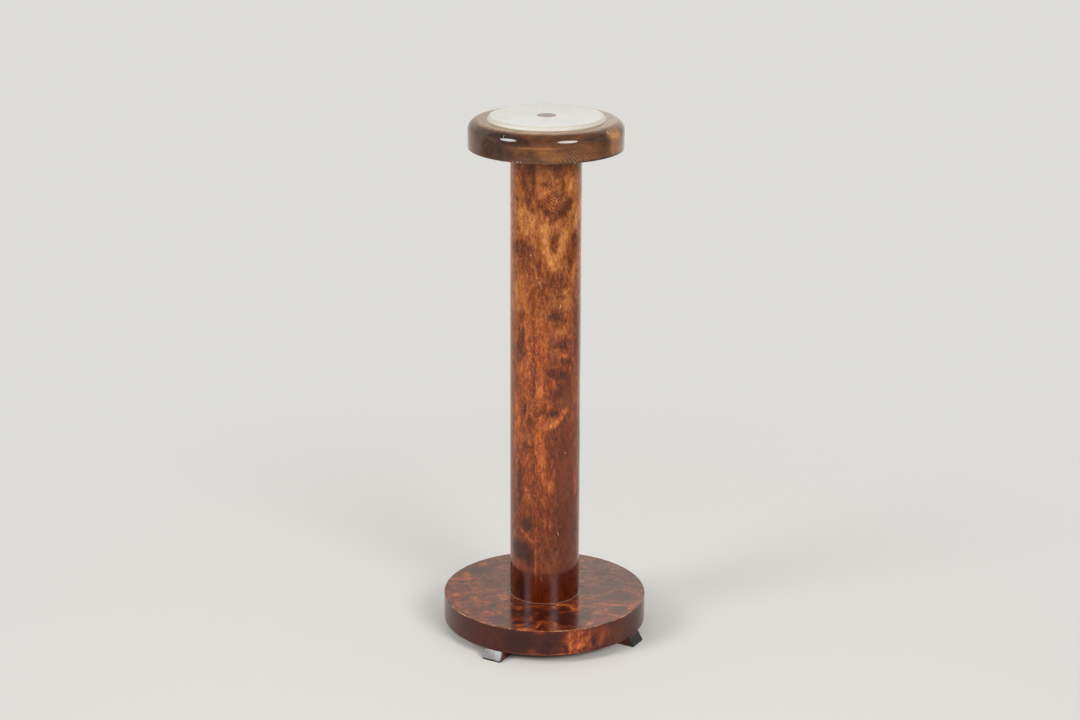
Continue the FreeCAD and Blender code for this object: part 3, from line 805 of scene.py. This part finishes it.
slab = {
    "radius": 84, "low": top["recessFloor"], "high": top["high"] + stack["marbleProud"],   # mm
    "bevelWide": 3.2, "bevelHigh": 5.0,
    "hole": 13.6, "holeFloor": 1,
    "softTop": 0.5, "softBevel": 0.3,                  # how far the two arrises are softened
    "softSpare": 0.45,        # how far the upper softening reaches in over the flat face
    "sides": 192, "smoothAngle": 26,
    "rough": 0.34,
    "white": paint(222, 222, 217), "grey": paint(216, 215, 211), "vein": paint(196, 196, 198),
    "crystal": paint(240, 240, 238),
    # foot is a painted shade where the marble meets the wood
    "stain": paint(202, 196, 182), "arris": paint(176, 166, 148), "foot": paint(150, 138, 120),
    "holeEdge": paint(150, 142, 134),
}


def makeMarbleMaterial():
    material, wire = newMaterial("whiteMarble")
    place = standPlace(wire)
    z = place.split()[2]
    reach = fromAxis(place)
    cloudy = place.moved(place.push(0.02, (30.0, 30.0, 30.0), 3))
    drift = cloudy.noise(0.018, 4, 0.6)
    veins = abs(cloudy.noise(0.012, 4, 0.55, 0.5) - 0.5).smooth(0.03, 0.0)
    crystals = place.noise(0.9, 2).smooth(0.55, 0.75)
    colour = drift.smooth(0.35, 0.7).between(slab["white"], slab["grey"])
    colour = (veins * 0.25).between(colour, slab["vein"])
    colour = (crystals * 0.12).between(colour, slab["crystal"])
    stain = (reach + (place.noise(0.06, 3) - 0.5) * 3.0).smooth(slab["radius"] - 7, slab["radius"] - 3)
    colour = (stain * 0.85).between(colour, slab["stain"])
    arris = abs(reach - (slab["radius"] - slab["bevelWide"])).smooth(0.9, 0.1)
    colour = (arris * place.noise(0.14, 3).smooth(0.3, 0.6) * 0.5).between(colour, slab["arris"])
    # painted shade round the marble's foot, where it meets the wood
    outer = reach.smooth(slab["radius"] - 4, slab["radius"] - 2)
    low = z.smooth(top["high"] + 1.2, top["high"] + 0.1) * outer
    colour = (low * 0.6).between(colour, slab["foot"])
    holeEdge = abs(reach - (slab["hole"] - 0.1)).smooth(0.7, 0.15)
    colour = (holeEdge * 0.5).between(colour, slab["holeEdge"])
    waves = place.noise(0.5, 3) * 0.4 + place.noise(0.04, 2)
    finishSurface(wire, bump=waves, bumpDepth=0.0003, bumpStrength=0.12, Base_Color=colour,
                  Roughness=drift * 0.1 + slab["rough"], IOR=1.5)
    return material


def makeMarble():
    material = makeMarbleMaterial()
    shoulder = slab["high"] - slab["bevelHigh"]
    flatReach = slab["radius"] - slab["bevelWide"]
    piece = startTurned("marbleSlab", slab["radius"], slab["low"], shoulder, slab["sides"])
    pick(piece, "FACE", isLevel)
    extrudeUp(slab["bevelHigh"])
    shrink = flatReach / slab["radius"]
    bpy.ops.transform.resize(value=(shrink, shrink, 1), center_override=(0, 0, 0))
    pick(piece, "EDGE", atRim(slab["high"]))
    bpy.ops.mesh.bevel(offset=slab["softTop"] / 1000, segments=3, profile=0.5)
    pick(piece, "EDGE", atRim(shoulder))
    bpy.ops.mesh.bevel(offset=slab["softBevel"] / 1000, segments=2, profile=0.5)
    pick(piece, "FACE", isMiddle)
    bpy.ops.mesh.inset(thickness=(flatReach - slab["softSpare"] - slab["hole"]) / 1000)
    extrudeUp(slab["low"] - slab["high"] + slab["holeFloor"])
    bpy.ops.object.mode_set(mode="OBJECT")
    piece.select_set(True)
    bpy.ops.object.shade_smooth_by_angle(angle=math.radians(slab["smoothAngle"]))
    piece.data.materials.append(material)
    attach(piece, "root")
    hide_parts("marble_slab")


makeMarble()
print("marble made")

plug = {
    "radius": 13.4,           # mm
    "light": paint(166, 154, 146), "dark": paint(150, 137, 130),
    "speck": paint(120, 106, 98), "rim": paint(132, 122, 114),
    "rough": 0.55,
}


def makePlug():
    material, wire = newMaterial("stonePlug")
    place = standPlace(wire)
    speckle = place.noise(1.1, 3, 0.6)
    colour = place.noise(0.12, 3).smooth(0.35, 0.65).between(plug["light"], plug["dark"])
    colour = (speckle.smooth(0.52, 0.66) * 0.5).between(colour, plug["speck"])
    rim = fromAxis(place).smooth(plug["radius"] - 1.2, plug["radius"] - 0.1)
    colour = (rim * 0.5).between(colour, plug["rim"])
    finishSurface(wire, bump=speckle, bumpDepth=0.0002, Base_Color=colour, Roughness=plug["rough"], IOR=1.5)
    return material


dress(makePlug(), "marble_plug")

foot = {
    "high": stack["foot"], "halfWidth": 14.5, "reachTop": 151,   # mm
    "rough": 0.16,
    "tones": [(0.3, paint(44, 15, 11)), (0.5, paint(72, 25, 16)), (0.7, paint(112, 44, 24))],
    "rubbed": paint(176, 88, 50),
    "black": paint(20, 17, 17), "scuffed": paint(60, 54, 52), "speck": paint(120, 112, 106),
    "edge": paint(150, 122, 102), "fleck": paint(16, 14, 14), "outline": paint(14, 11, 11),
    "sheen": paint(176, 172, 168), "sheenEnd": (-130, -145), "sheenRise": 20,  # only the end on the -Y side
}


def footEndColour(place, x, y, z, side, scuffs):       # the black ends, worn at their edges, with a painted sheen on one end and painted shade round their bottom and sides
    black = (scuffs * 0.6).between(foot["black"], foot["scuffed"])
    specks = place.noise(0.8, 3, 0.7).smooth(0.68, 0.74)
    black = (specks * 0.6).between(black, foot["speck"])
    topEdge = z.smooth(foot["high"] - 1.5, foot["high"] - 0.4)
    sideEdge = side.smooth(foot["halfWidth"] - 1.1, foot["halfWidth"] - 0.3)
    worn = (topEdge + sideEdge).clipped() * place.noise(0.3, 3).smooth(0.4, 0.55)
    black = (worn * 0.45).between(black, foot["edge"])
    sheen = (x / (2 * foot["halfWidth"]) + z / foot["sheenRise"]).smooth(0.1, 1.0)
    black = (sheen * y.smooth(*foot["sheenEnd"]) * 0.5).between(black, foot["sheen"])
    black = (place.noise(0.5, 2).smooth(0.56, 0.64) * 0.6).between(black, foot["fleck"])
    # painted shade along the bottom and the sides of each end
    outline = side.smooth(foot["halfWidth"] - 2.2, foot["halfWidth"] - 1.2)
    return ((z.smooth(2.6, 1.2) + outline).clipped() * 0.8).between(black, foot["outline"])


def makeFootWood():
    material, wire = newMaterial("footWood")
    place = wire.node("ShaderNodeTexCoord", output="Object").stretched(1000.0, 1000.0, 1000.0)
    x, y, z = place.split()
    out = abs(x).maths("MAXIMUM", abs(y))
    side = abs(x).maths("MINIMUM", abs(y))
    grain = place.stretched(0.1, 0.1, 1.0).noise(0.9, 3, 0.6)
    colour = (grain + (place.noise(0.05, 2) - 0.5) * 0.5).ramp(foot["tones"])
    lowEdge = z.smooth(3.0, 0.6) * place.noise(0.2, 3).smooth(0.4, 0.6)
    colour = (lowEdge * 0.5).between(colour, foot["rubbed"])
    scuffs = place.stretched(1.0, 1.0, 0.4).noise(0.28, 3, 0.6).smooth(0.55, 0.75)
    lacquer = out.smooth(foot["reachTop"] - 0.9, foot["reachTop"] - 0.3)
    colour = lacquer.between(colour, footEndColour(place, x, y, z, side, scuffs))
    finishSurface(wire, bump=grain * 0.4 + scuffs * 0.3, bumpDepth=0.0003, bumpStrength=0.08,
                  Base_Color=colour, Roughness=lacquer * 0.12 + scuffs * 0.1 + foot["rough"], IOR=1.42)
    return material


dress(makeFootWood(), "cross_foot_lower", "cross_foot_upper")
print("foot made")

bareWood = {                  # what isn't veneered or polished: light, dark, how the grain is drawn out
    "coreWood": (paint(226, 198, 158), paint(196, 158, 112), (0.08, 1.0, 1.0)),
    "uprightWood": (paint(224, 196, 156), paint(194, 156, 110), (1.0, 1.0, 0.08)),
    "plainVeneer": (paint(92, 50, 36), paint(64, 32, 24), (0.08, 1.0, 1.0)),
}


def makeBareWood(name):
    material, wire = newMaterial(name)
    light, dark, grain = bareWood[name]
    place = standPlace(wire).stretched(*grain)
    fibre = place.noise(0.5, 3, 0.6)
    colour = (fibre + (place.noise(0.06, 2) - 0.5)).smooth(0.3, 0.75).between(light, dark)
    finishSurface(wire, bump=fibre, bumpDepth=0.0002, Base_Color=colour, Roughness=0.7)
    return material


dress(makeBareWood("coreWood"), *[name for name in nodes if name.startswith("base_board")])
dress(makeBareWood("uprightWood"), "column_bottom_block", "column_top_block",
      *[name for name in nodes if name.startswith("column_stave")])
dress(makeBareWood("plainVeneer"), "base_bottom_veneer")

steel = {"light": paint(196, 194, 190), "dark": paint(150, 146, 140), "rough": 0.25}


def makeSteel():
    material, wire = newMaterial("plainSteel")
    place = standPlace(wire)
    dull = place.noise(0.4, 3)
    colour = dull.smooth(0.35, 0.7).between(steel["light"], steel["dark"])
    finishSurface(wire, bump=place.noise(1.5, 2), bumpDepth=0.0001, bumpStrength=0.2, Base_Color=colour,
                  Metallic=1.0, Roughness=dull * 0.3 + steel["rough"])
    return material


dress(makeSteel(), "tie_rod", "tie_rod_nut_lower", "tie_rod_nut_upper", "washer_lower", "washer_upper",
      "foot_screws")
print("hidden wood and steel finished")
